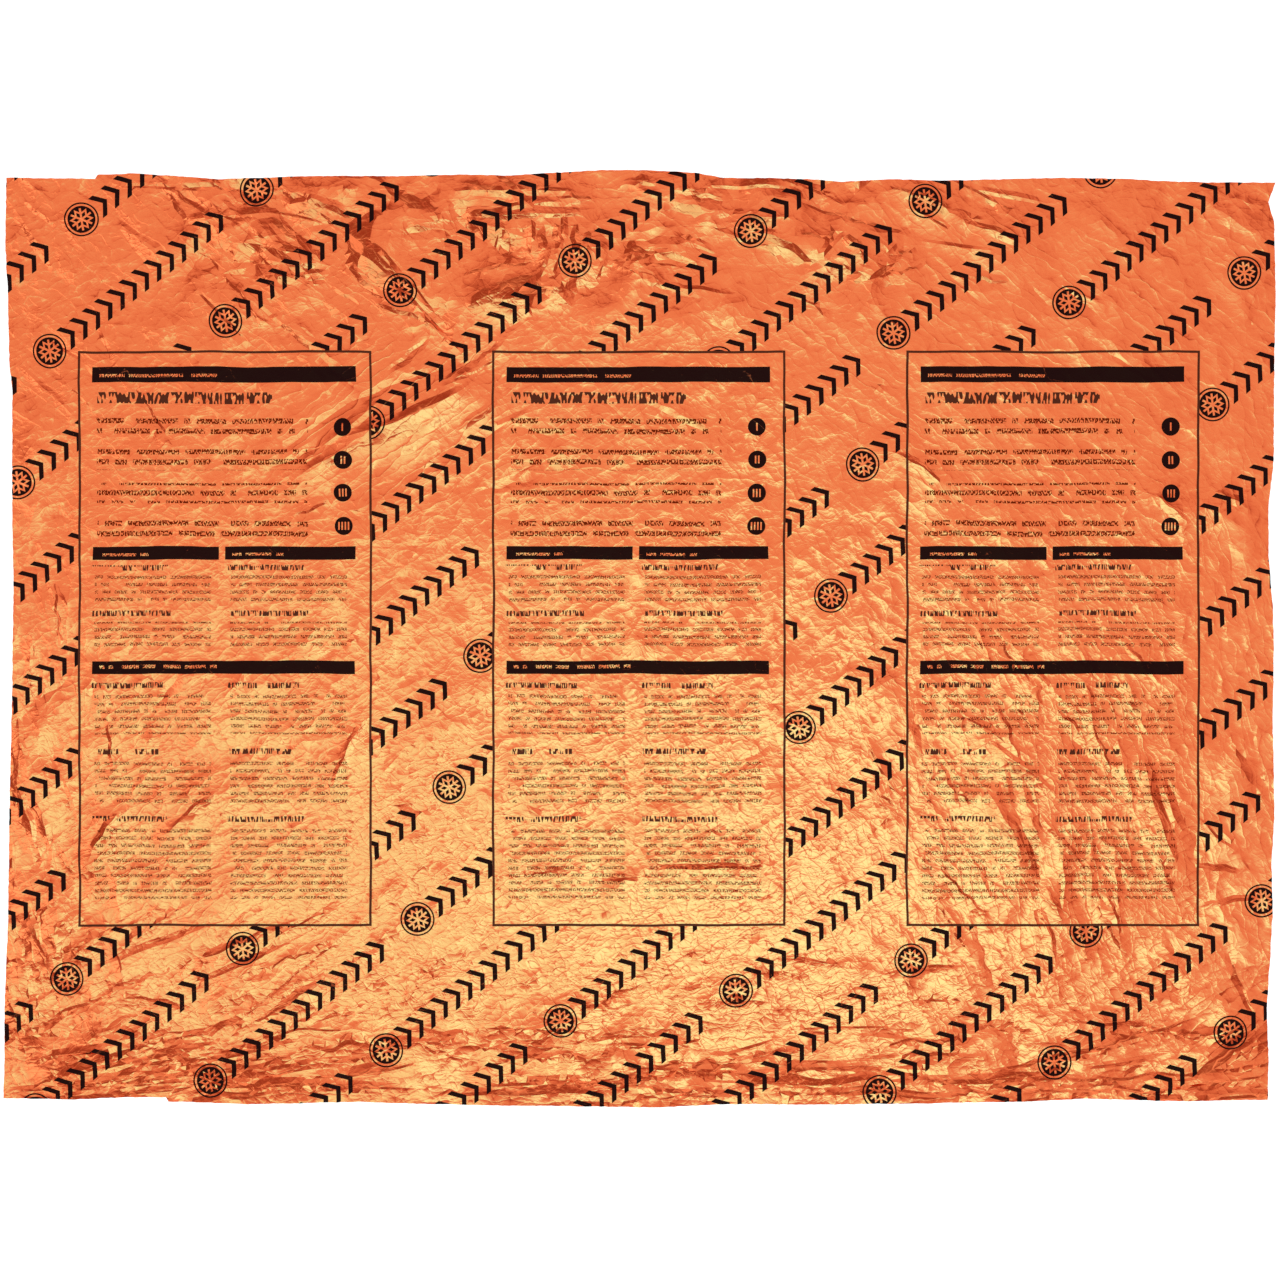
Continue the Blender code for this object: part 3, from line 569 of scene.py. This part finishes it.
def numberedRows(tree, place, marks):  # the discs, and the wide lines beside them
    rows = printing["rows"]
    x, y, _ = addNode(tree, "SeparateXYZ", None, {0: place}).outputs
    top = rows["top"] + rows["pitch"] / 2
    below = addNode(tree, "Math", "SUBTRACT", {0: top, 1: y}).outputs[0]
    below = addNode(tree, "Math", "DIVIDE", {0: below, 1: rows["pitch"]}).outputs[0]
    number = addNode(tree, "Math", "CEIL", {0: below}).outputs[0]
    within = addNode(tree, "Math", "FRACT", {0: below}).outputs[0]
    within = addNode(tree, "Math", "MULTIPLY_ADD",
                     {0: within, 1: rows["pitch"], 2: -rows["pitch"] / 2}).outputs[0]
    inRow = addNode(tree, "CombineXYZ", None, {0: x, 1: within}).outputs[0]
    lines = inkBlocks(tree, inRow, (rows["x"], 0, rows["width"], rows["height"]))
    spot = addNode(tree, "VectorMath", "SUBTRACT", {0: inRow, 1: (rows["disc"], 0, 0)}).outputs[0]
    far = addNode(tree, "VectorMath", "LENGTH", {0: spot}).outputs["Value"]
    disc = addNode(tree, "Math", "LESS_THAN", {0: far, 1: rows["radius"]}).outputs[0]
    across, _, _ = addNode(tree, "SeparateXYZ", None, {0: spot}).outputs
    discs = inkAround(tree, disc, tallyBars(tree, across, within, number))
    height = rows["pitch"] * rows["count"]
    listed = inkBlocks(tree, place, (0, top - height / 2, printing["panelPitch"], height))
    return inkThrough(tree, discs, listed), inkThrough(tree, lines, marks, listed)


def arrowHeads(tree, along, aside):
    heads = printing["heads"]
    half = addNode(tree, "Math", "ABSOLUTE", {0: aside}).outputs[0]
    inHeight = addNode(tree, "Math", "LESS_THAN", {0: half, 1: heads["halfHeight"]}).outputs[0]
    slanted = addNode(tree, "Math", "MULTIPLY_ADD", {0: half, 1: heads["slant"], 2: along}).outputs[0]
    reach = ((heads["count"] - 1) * heads["pitch"] + heads["stroke"]) / 2
    inRun = addNode(tree, "Math", "COMPARE", {0: slanted, 1: heads["from"] + reach, 2: reach}).outputs[0]
    strokes = addNode(tree, "Math", "SUBTRACT", {0: slanted, 1: heads["from"]}).outputs[0]
    strokes = addNode(tree, "Math", "DIVIDE", {0: strokes, 1: heads["pitch"]}).outputs[0]
    strokes = addNode(tree, "Math", "FRACT", {0: strokes}).outputs[0]
    strokes = addNode(tree, "Math", "LESS_THAN",
                      {0: strokes, 1: heads["stroke"] / heads["pitch"]}).outputs[0]
    return inkThrough(tree, inHeight, inRun, strokes)


def ringWithCrystal(tree, along, aside):  # a bare snow crystal on a disc: one arm with its branch, six times
    ring, crystal = printing["ring"], printing["crystal"]
    across = addNode(tree, "Math", "SUBTRACT", {0: along, 1: ring["at"]}).outputs[0]
    spot = addNode(tree, "CombineXYZ", None, {0: across, 1: aside}).outputs[0]
    far = addNode(tree, "VectorMath", "LENGTH", {0: spot}).outputs["Value"]
    line = addNode(tree, "Math", "COMPARE", {0: far, 1: ring["radius"], 2: ring["halfLine"]}).outputs[0]
    disc = addNode(tree, "Math", "LESS_THAN", {0: far, 1: ring["disc"]}).outputs[0]
    angle = addNode(tree, "Math", "ARCTAN2", {0: aside, 1: across}).outputs[0]
    angle = addNode(tree, "Math", "PINGPONG", {0: angle, 1: math.pi / 6}).outputs[0]
    out = addNode(tree, "Math", "COSINE", {0: angle}).outputs[0]
    out = addNode(tree, "Math", "MULTIPLY", {0: far, 1: out}).outputs[0]
    off = addNode(tree, "Math", "SINE", {0: angle}).outputs[0]
    off = addNode(tree, "Math", "MULTIPLY", {0: far, 1: off}).outputs[0]
    arm = addNode(tree, "Math", "LESS_THAN", {0: off, 1: crystal["halfStroke"]}).outputs[0]
    branch = addNode(tree, "Math", "MULTIPLY_ADD", {0: off, 1: -crystal["branchSlant"], 2: out}).outputs[0]
    branch = addNode(tree, "Math", "COMPARE",
                     {0: branch, 1: crystal["branchAt"], 2: crystal["halfBranch"]}).outputs[0]
    inArm = addNode(tree, "Math", "LESS_THAN", {0: out, 1: crystal["arm"]}).outputs[0]
    bare = inkThrough(tree, inkOver(tree, arm, branch), inArm)
    return inkOver(tree, line, inkAround(tree, disc, bare))


def diagonalRuns(tree, place):  # each a ring with its crystal, then a run of arrow heads
    runs = printing["runs"]
    turned = addNode(tree, "VectorRotate", {"rotation_type": "Z_AXIS"},
                     {"Vector": place, "Angle": -math.radians(runs["angle"])}).outputs[0]
    x, y, _ = addNode(tree, "SeparateXYZ", None, {0: turned}).outputs
    row = addNode(tree, "Math", "DIVIDE", {0: y, 1: runs["across"]}).outputs[0]
    number = addNode(tree, "Math", "ROUND", {0: row}).outputs[0]
    aside = addNode(tree, "Math", "SUBTRACT", {0: row, 1: number}).outputs[0]
    aside = addNode(tree, "Math", "MULTIPLY", {0: aside, 1: runs["across"]}).outputs[0]
    along = addNode(tree, "Math", "MULTIPLY_ADD", {0: number, 1: runs["shift"], 2: x}).outputs[0]
    along = addNode(tree, "Math", "WRAP", {0: along, 1: runs["along"], 2: 0.0}).outputs[0]
    return inkOver(tree, arrowHeads(tree, along, aside), ringWithCrystal(tree, along, aside))


def panelPlaces(tree, place):  # the place in a panel, and in a column of its short lines
    x, y, _ = addNode(tree, "SeparateXYZ", None, {0: place}).outputs
    half = printing["panelPitch"] / 2
    across = addNode(tree, "Math", "SUBTRACT", {0: x, 1: printing["panelShift"]}).outputs[0]
    across = addNode(tree, "Math", "WRAP", {0: across, 1: half, 2: -half}).outputs[0]
    inPanel = addNode(tree, "CombineXYZ", None, {0: across, 1: y}).outputs[0]
    half = printing["columnPitch"] / 2
    across = addNode(tree, "Math", "SUBTRACT", {0: across, 1: printing["columnShift"] - half}).outputs[0]
    across = addNode(tree, "Math", "WRAP", {0: across, 1: half, 2: -half}).outputs[0]
    return inPanel, addNode(tree, "CombineXYZ", None, {0: across, 1: y}).outputs[0]


def drawPrint(tree):  # how much solid ink and how much thin ink cover the film, from 0 to 1
    place = printPlace(tree)
    inPanel, inColumn = panelPlaces(tree, place)
    width, height = 2 * printing["panelHalf"][0], 2 * printing["panelHalf"][1]
    line = printing["frameLine"]
    panel = inkBlocks(tree, inPanel, (0, 0, width, height))
    border = inkAround(tree, panel, inkBlocks(tree, inPanel, (0, 0, width - 2 * line, height - 2 * line)))
    small = unreadableLines(tree, inPanel, printing["smallPrint"])
    wide = unreadableLines(tree, inPanel, printing["widePrint"])
    bold = unreadableLines(tree, inPanel, printing["boldPrint"])
    title = unreadableLines(tree, inPanel, printing["titlePrint"])
    margin, textHeight = printing["barText"]["margin"], printing["barText"]["height"]
    texts = [(x - long / 4, y, long / 2 - margin, textHeight) for x, y, long, _ in printing["bars"]]
    bareText = inkThrough(tree, small, inkBlocks(tree, inPanel, *texts))
    bars = inkAround(tree, inkBlocks(tree, inPanel, *printing["bars"]), bareText)
    columns = inkBlocks(tree, inPanel, (printing["columnShift"], 0, 2 * printing["columnPitch"], height))
    title = inkThrough(tree, title, inkBlocks(tree, inPanel, printing["title"]))
    headings = inkThrough(tree, bold, columns, inkBlocks(tree, inColumn, *printing["headings"]))
    discs, lines = numberedRows(tree, inPanel, wide)
    fine = inkThrough(tree, small, columns, inkBlocks(tree, inColumn, *printing["fineLines"]))
    fine = addNode(tree, "Math", "MULTIPLY", {0: fine, 1: printing["fineCover"]}).outputs[0]
    bold = addNode(tree, "Math", "MULTIPLY",
                   {0: inkOver(tree, title, headings, border), 1: printing["boldCover"]}).outputs[0]
    solid = inkOver(tree, bars, bold, discs, inkAround(tree, diagonalRuns(tree, place), panel))
    return solid, inkOver(tree, lines, fine)


foil = {
    "dye": "#EF7746",
    "bareMetal": "#DCDDDF",
    "roughness": 0.13,
    "inkRoughness": 0.34,
    "inkGloss": 0.12,  # specular level of the ink, which is matt beside the film
    # turn that brings the grain along X, length and width of its small facets in millimetres, slope beside
    # the creases between them, lean of a whole facet
    "grains": (
        ("levelGrain", 0, 66, 15, 0.38, 0.09),
        ("fallingGrain", 38, 74, 17, 0.36, 0.12),
        ("uprightGrain", 75, 66, 18, 0.36, 0.12),
        ("risingGrain", -35, 66, 16, 0.36, 0.12),
        ("crumpledGrain", -22, 38, 12, 0.32, 0.05),
        ("crumpledGrain", 55, 33, 13, 0.32, 0.05),
        ("crumpledGrain", 20, 16, 8, 0.32, 0.08),
    ),
    "sharpness": 4,  # how close to the crease the film turns steep
    "bend": 7,  # how far the creases of a grain wander, in millimetres
    "bendSize": 34,  # from one bend to the next
    "billow": 0.05,  # slope of the soft swells between the creases
    "wornFrom": (0.16, 0.34),  # steepness of a crease where the ink begins to wear off, and where it is thin
    "wornInk": 0.55,
}


def grainSlope(tree, place, grain, turn, length, width, pinch, lean):  # facets, steepest beside their rims
    strength = addNode(tree, "Attribute", {"attribute_name": grain}).outputs["Fac"]
    spot = addNode(tree, "VectorRotate", {"rotation_type": "Z_AXIS"},
                   {"Vector": place, "Angle": math.radians(turn)}).outputs[0]
    spot = addNode(tree, "VectorMath", "MULTIPLY", {0: spot, 1: (1 / length, 1 / width, 0)}).outputs[0]
    facet = addNode(tree, "TexVoronoi", {"voronoi_dimensions": "2D"}, {"Vector": spot, "Scale": 1.0})
    beyond = addNode(tree, "TexVoronoi", {"voronoi_dimensions": "2D", "feature": "F2"},
                     {"Vector": spot, "Scale": 1.0}).outputs["Distance"]
    away = addNode(tree, "VectorMath", "SUBTRACT", {0: spot, 1: facet.outputs["Position"]}).outputs[0]
    away = addNode(tree, "VectorMath", "NORMALIZE", {0: away}).outputs[0]
    near = addNode(tree, "Math", "DIVIDE", {0: facet.outputs["Distance"], 1: beyond}).outputs[0]
    near = addNode(tree, "Math", "POWER", {0: near, 1: foil["sharpness"]}).outputs[0]
    uneven = facet.outputs["Color"]  # three values by chance for each facet
    steep = addNode(tree, "SeparateXYZ", None, {0: uneven}).outputs[2]
    steep = addNode(tree, "Math", "MULTIPLY", {0: steep, 1: pinch}).outputs[0]
    steep = addNode(tree, "Math", "MULTIPLY", {0: steep, 1: near}).outputs[0]
    crease = addNode(tree, "VectorMath", "SCALE", {0: away, "Scale": steep}).outputs[0]
    leaning = addNode(tree, "VectorMath", "MULTIPLY_ADD",
                      {0: uneven, 1: (lean, lean, 0), 2: (-lean / 2, -lean / 2, 0)}).outputs[0]
    slope = addNode(tree, "VectorMath", "ADD", {0: crease, 1: leaning}).outputs[0]
    slope = addNode(tree, "VectorMath", "MULTIPLY", {0: slope, 1: (width / length, 1, 0)}).outputs[0]
    slope = addNode(tree, "VectorMath", "SCALE", {0: slope, "Scale": strength}).outputs[0]
    return addNode(tree, "VectorRotate", {"rotation_type": "Z_AXIS"},
                   {"Vector": slope, "Angle": -math.radians(turn)}).outputs[0]


def fineCreases(tree):  # creases too small for the mesh, as the film's normal there and their slope
    uv = addNode(tree, "UVMap", {"uv_map": "flat"}).outputs[0]
    place = addNode(tree, "VectorMath", "MULTIPLY", {0: uv, 1: (1000, 1000, 0)}).outputs[0]
    bend = addNode(tree, "TexNoise", {"noise_dimensions": "2D"},
                   {"Vector": place, "Scale": 1 / foil["bendSize"], "Detail": 1.0}).outputs["Color"]
    reach = 2 * foil["bend"]
    place = addNode(tree, "VectorMath", "MULTIPLY_ADD", {0: bend, 1: (reach, reach, 0), 2: place}).outputs[0]
    swell = foil["billow"]
    total = addNode(tree, "VectorMath", "MULTIPLY_ADD",
                    {0: bend, 1: (swell, swell, 0), 2: (-swell / 2, -swell / 2, 0)}).outputs[0]
    for row in foil["grains"]:
        slope = grainSlope(tree, place, *row)
        total = addNode(tree, "VectorMath", "ADD", {0: slope, 1: total}).outputs[0]
    toWorld = {"vector_type": "VECTOR", "convert_from": "OBJECT", "convert_to": "WORLD"}
    total = addNode(tree, "VectorTransform", toWorld, {0: total}).outputs[0]
    normal = addNode(tree, "NewGeometry").outputs["Normal"]
    normal = addNode(tree, "VectorMath", "SUBTRACT", {0: normal, 1: total}).outputs[0]
    return addNode(tree, "VectorMath", "NORMALIZE", {0: normal}).outputs[0], total


# Polyester film, dyed orange and metallised in a vacuum: a soft-edged mirror that colours all it reflects.
# Its roll-printed ink is duller, lets the film shine through thin strokes, and wears off sharp creases.
def metallisedFilm():
    material, tree, shader = newMaterial("dyedMetallisedPolyester")
    normal, slope = fineCreases(tree)
    steep = addNode(tree, "VectorMath", "LENGTH", {0: slope}).outputs["Value"]
    wearStarts, wornThin = foil["wornFrom"]
    worn = addNode(tree, "MapRange", {"interpolation_type": "SMOOTHSTEP"},
                   {0: steep, 1: wearStarts, 2: wornThin, 3: 1.0, 4: foil["wornInk"]}).outputs[0]
    solid, thin = drawPrint(tree)
    ink = inkThrough(tree, solid, worn)
    colour = addNode(tree, "Mix", {"data_type": "RGBA"},
                     {0: thin, 6: fromHex(foil["dye"]), 7: fromHex(printing["thinInk"])}).outputs[2]
    colour = addNode(tree, "Mix", {"data_type": "RGBA"},
                     {0: ink, 6: colour, 7: fromHex(printing["ink"])}).outputs[2]
    metal = addNode(tree, "Math", "SUBTRACT", {0: 1.0, 1: ink}).outputs[0]
    rough = addNode(tree, "Math", "MULTIPLY_ADD",
                    {0: ink, 1: foil["inkRoughness"] - foil["roughness"], 2: foil["roughness"]}).outputs[0]
    # the ink lies under the film's orange lacquer, and bare metal keeps a white edge
    tint = addNode(tree, "Mix", {"data_type": "RGBA"},
                   {0: ink, 6: (1, 1, 1, 1), 7: fromHex(foil["dye"])}).outputs[2]
    setInputs(tree, shader, {
        "Base Color": colour, "Metallic": metal, "Roughness": rough, "Normal": normal,
        "Specular Tint": tint, "Specular IOR Level": foil["inkGloss"],
    })
    return material


# Polyester film, metallised in a vacuum: its back has no dye and no print, so it is a bright silver mirror.
def bareFilm():
    material, tree, shader = newMaterial("bareMetallisedPolyester")
    normal, _ = fineCreases(tree)
    setInputs(tree, shader, {
        "Base Color": fromHex(foil["bareMetal"]), "Metallic": 1.0, "Roughness": foil["roughness"],
        "Normal": normal,
    })
    return material


def giveThickness(piece):  # downwards, with the bare side on the back and round the cut edge
    front = len(piece.data.polygons)
    piece.data.materials.clear()
    piece.data.materials.append(metallisedFilm())
    piece.data.materials.append(bareFilm())
    print("film and print coloured")
    pickOnly(piece)
    bpy.ops.object.modifier_add(type="SOLIDIFY")
    thick = piece.modifiers[-1]
    thick.thickness = film["filmThickness"] * mm
    thick.offset = -1
    thick.material_offset = 1
    thick.material_offset_rim = 1
    bpy.ops.object.modifier_apply(modifier=thick.name)
    bpy.ops.object.shade_smooth_by_angle(angle=math.radians(film["sharpFrom"]))
    return front


# A second map, in shares of its own square: the face over its whole width, above it the back at a smaller
# scale, and beside the back the quads of the cut edge in small cells.
bakingMap = {"margin": 0.002, "backShare": 0.34, "edgeColumns": 56, "cellFill": 0.8}


def layOutForBaking(piece, front):
    mesh = piece.data
    corners = np.zeros(len(mesh.loops), np.int32)
    mesh.loops.foreach_get("vertex_index", corners)
    places = np.zeros(len(mesh.vertices) * 3, np.float32)
    mesh.vertices.foreach_get("co", places)
    flat = places.reshape(-1, 3)[:, :2]
    low, span = flat.min(0), np.ptp(flat, 0)
    margin, backShare = bakingMap["margin"], bakingMap["backShare"]
    full = (1 - 2 * margin) / span[0]
    onMap = (flat[corners] - low) * full + margin
    backStart, edgeStart = 3 * front, 6 * front  # the face's triangles come first, then the back's
    faceTop = span[1] * full + 2 * margin
    onMap[backStart:edgeStart] = (flat[corners[backStart:edgeStart]] - low) * full * backShare
    onMap[backStart:edgeStart] += (margin, faceTop)
    cells = (len(corners) - edgeStart) // 4
    left = backShare + 2 * margin
    columns = bakingMap["edgeColumns"]
    width, height = (1 - left) / columns, (1 - faceTop) / math.ceil(cells / columns)
    for cell in range(cells):
        x, y = left + cell % columns * width, faceTop + cell // columns * height
        square = np.array(((0, 0), (1, 0), (1, 1), (0, 1))) * (width, height) * bakingMap["cellFill"]
        onMap[edgeStart + 4 * cell:edgeStart + 4 * cell + 4] = square + (x, y)
    mesh.uv_layers.new(name="OFBake").data.foreach_set("uv", onMap.astype(np.float32).ravel())


layOutForBaking(foilFilm, giveThickness(foilFilm))
print("film finished:", len(foilFilm.data.polygons), "faces")

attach(foilFilm, "root")
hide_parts("foil_sheet")

# All in metres. What the film mirrors is a large dim room with a bright ceiling.
studio = {
    "cameraHeight": 5.0,
    "frameWidth": 2.1286,
    "frameMiddle": (0.0008, -0.0025),
    "sensor": 36,
    "floorSize": 60,
    "floorColour": "#F7F7F6",
    "floorRoughness": 0.9,
    "floorGlow": 0.52,  # a white ground that is lit from below as well
    # degrees from straight up, colour of the room there: its dark places are a warm red, like wooden walls
    "room": (
        (0, (1.03, 1.10, 1.10)), (9, (1.03, 1.08, 1.08)), (14, (1.0, 1.0, 1.0)),
        (20, (0.98, 0.90, 0.90)), (27, (0.87, 0.68, 0.66)), (34, (0.64, 0.40, 0.38)),
        (43, (0.36, 0.14, 0.11)), (50, (0.46, 0.30, 0.26)), (58, (0.85, 0.78, 0.76)),
        (66, (1.3, 1.3, 1.3)), (76, (0.8, 0.76, 0.75)), (88, (1.2, 1.2, 1.2)), (180, (0.8, 0.8, 0.8)),
    ),
    # soft glows on the ceiling, as places one metre up: middle, half width and height, colour in the middle
    "glows": (
        ((0.02, -0.125), (0.34, 0.24), (0.03, 0.70, 0.78)),
        ((-0.50, -0.16), (0.26, 0.28), (1.0, 1.7, 1.8)),
    ),
    "glowHorizon": 0.05,  # the glows keep above this height, as a share of straight up
    # place, width and length, radiance, tint
    "softboxes": {
        "wideSoftbox": ((-1.05, -1.18, 5.2), (5.4, 3.6), 1.76, (0.06, 1.0, 1.08)),
        "keySoftbox": ((0.64, -1.12, 5.1), (2.9, 2.7), 2.60, (0.08, 1.0, 1.2)),
    },
}


# Board painted matt white: even and without gloss, so it shows no more than a soft shadow.
def layFloor():
    bpy.ops.mesh.primitive_plane_add(size=studio["floorSize"], location=(0, 0, 0))
    floor = bpy.context.active_object
    floor.name = "studio_floor"
    paint, tree, shader = newMaterial("paintedFloor")
    setInputs(tree, shader, {
        "Base Color": fromHex(studio["floorColour"]), "Roughness": studio["floorRoughness"],
        "Emission Color": (1, 1, 1, 1), "Emission Strength": studio["floorGlow"],
    })
    floor.data.materials.append(paint)
    return floor


def fadeFromMiddle(tree, aside):  # 1 in the middle, softly down to 0 where the vector is 1 long
    far = addNode(tree, "VectorMath", "LENGTH", {0: aside}).outputs["Value"]
    return addNode(tree, "MapRange", {"interpolation_type": "SMOOTHSTEP"},
                   {0: far, 1: 0.0, 2: 1.0, 3: 1.0, 4: 0.0}).outputs[0]


def hangSoftbox(name, place, size, radiance, tint):  # facing down, brightest in its middle
    bpy.ops.object.light_add(type="AREA", location=place)
    light = bpy.context.active_object
    light.name = name
    light.data.shape = "RECTANGLE"
    light.data.size, light.data.size_y = size
    light.data.energy = radiance * math.pi * size[0] * size[1]
    light.data.color = tint
    light.data.use_nodes = True
    tree = light.data.node_tree
    spot = addNode(tree, "NewGeometry").outputs["Parametric"]
    spot = addNode(tree, "VectorMath", "MULTIPLY_ADD", {0: spot, 1: (2, 2, 0), 2: (-1, -1, 0)}).outputs[0]
    tree.links.new(fadeFromMiddle(tree, spot), tree.nodes["Emission"].inputs["Strength"])
    light.visible_camera = False


def roomColour(tree, height):  # the room from straight up to straight down, from the height of a direction
    awayFromTop = addNode(tree, "Math", "ARCCOSINE", {0: height}).outputs[0]
    share = addNode(tree, "Math", "DIVIDE", {0: awayFromTop, 1: math.pi}).outputs[0]
    ramp = addNode(tree, "ValToRGB", None, {0: share})
    steps = ramp.color_ramp.elements
    brightest = max(max(colour) for _, colour in studio["room"])
    for number, (degrees, colour) in enumerate(studio["room"]):  # a new ramp has two steps already
        step = steps[number] if number < 2 else steps.new(degrees / 180)
        step.position = degrees / 180
        step.color = [channel / brightest for channel in colour] + [1]
    return addNode(tree, "VectorMath", "SCALE", {0: ramp.outputs["Color"], "Scale": brightest}).outputs[0]


def paintRoom():
    world = bpy.data.worlds.new("softStudio")
    bpy.context.scene.world = world
    world.use_nodes = True
    tree = world.node_tree
    towards = addNode(tree, "TexCoord").outputs["Generated"]
    height = addNode(tree, "SeparateXYZ", None, {0: towards}).outputs[2]
    light = roomColour(tree, height)
    overhead = addNode(tree, "Math", "MAXIMUM", {0: height, 1: studio["glowHorizon"]}).outputs[0]
    overhead = addNode(tree, "Math", "DIVIDE", {0: 1.0, 1: overhead}).outputs[0]
    onCeiling = addNode(tree, "VectorMath", "SCALE", {0: towards, "Scale": overhead}).outputs[0]
    for middle, reach, colour in studio["glows"]:
        aside = addNode(tree, "VectorMath", "SUBTRACT", {0: onCeiling, 1: (*middle, 1)}).outputs[0]
        aside = addNode(tree, "VectorMath", "MULTIPLY",
                        {0: aside, 1: (1 / reach[0], 1 / reach[1], 0)}).outputs[0]
        glow = addNode(tree, "VectorMath", "SCALE",
                       {0: colour, "Scale": fadeFromMiddle(tree, aside)}).outputs[0]
        light = addNode(tree, "VectorMath", "ADD", {0: light, 1: glow}).outputs[0]
    tree.links.new(light, tree.nodes["Background"].inputs["Color"])


def hangCamera():  # straight above the sheet, looking down
    bpy.ops.object.camera_add(location=(*studio["frameMiddle"], studio["cameraHeight"]), rotation=(0, 0, 0))
    camera = bpy.context.active_object
    camera.data.sensor_width = studio["sensor"]
    camera.data.lens = studio["sensor"] * studio["cameraHeight"] / studio["frameWidth"]
    return camera


floor = layFloor()
for name, values in studio["softboxes"].items():
    hangSoftbox(name, *values)
paintRoom()
bpy.context.scene.camera = hangCamera()
bpy.context.scene.view_settings.view_transform = "Standard"
print("studio set up")
